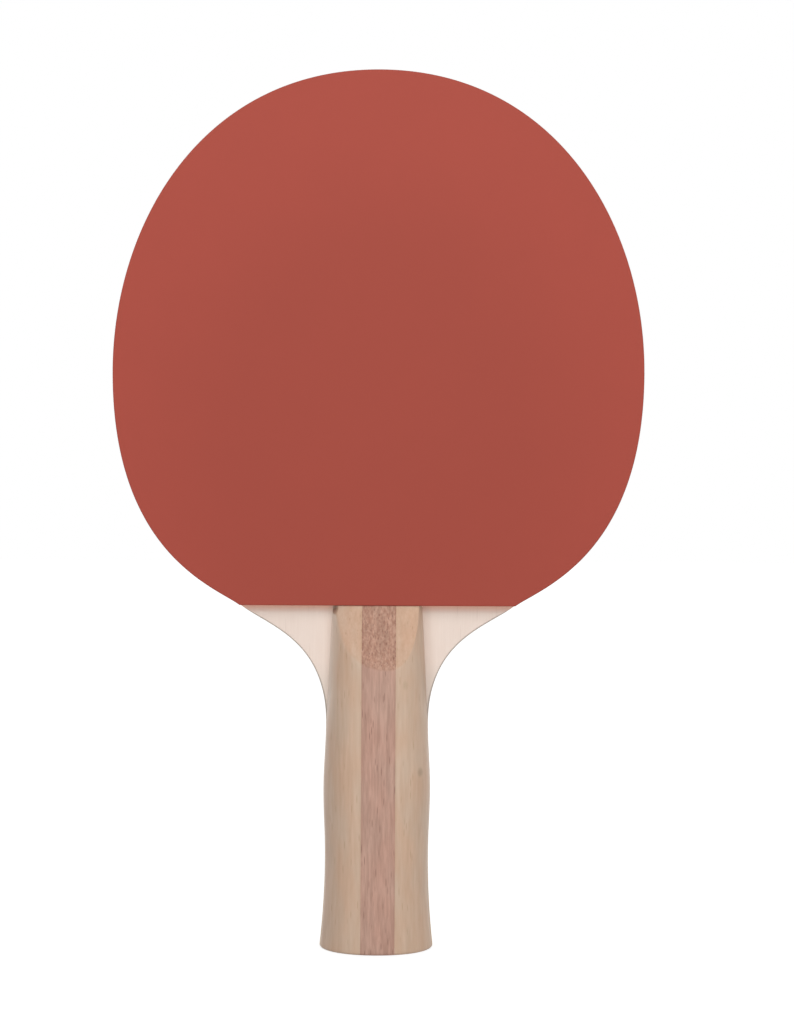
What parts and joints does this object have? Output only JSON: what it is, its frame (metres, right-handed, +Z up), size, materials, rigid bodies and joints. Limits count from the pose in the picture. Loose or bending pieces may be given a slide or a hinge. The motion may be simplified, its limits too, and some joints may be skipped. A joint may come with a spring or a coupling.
{
  "type": "table tennis racket",
  "caption": "Table tennis racket: laminated wooden blade, flared oval grip of glued wood strips, smooth red rubber covering on the front and black on the back.",
  "frame": {"origin": "middle of the grip's end face", "axes": "+Z up the grip to the blade, +X to the right seen from the red side, -Y out of the red side"},
  "size_m": [0.15, 0.0242, 0.2485],
  "materials": {
    "core_wood": "light, open-grained core wood, sanded edge",
    "crossband_wood": "thin cross-grained veneer, sanded edge",
    "face_veneer": "very pale fine-grained veneer, thin matt sealer",
    "pale_grip_wood": "pale straight-grained wood, sanded smooth, unvarnished",
    "centre_grip_wood": "pinkish brown wood with open pores, sanded smooth, unvarnished",
    "sponge": "fine-celled foam rubber",
    "red_rubber": "smooth matt rubber, slight sheen",
    "black_rubber": "smooth matt rubber, slight sheen"
  },
  "bodies": {
    "root": {"blade_core_ply": "core_wood", "front_crossband_ply": "crossband_wood", "back_crossband_ply": "crossband_wood", "front_face_ply": "face_veneer", "back_face_ply": "face_veneer", "front_grip_left_strip": "pale_grip_wood", "front_grip_centre_strip": "centre_grip_wood", "front_grip_right_strip": "pale_grip_wood", "back_grip_left_strip": "pale_grip_wood", "back_grip_centre_strip": "centre_grip_wood", "back_grip_right_strip": "pale_grip_wood", "front_sponge": "sponge", "back_sponge": "sponge", "front_rubber_sheet": "red_rubber", "back_rubber_sheet": "black_rubber"}
  },
  "joints": []
}
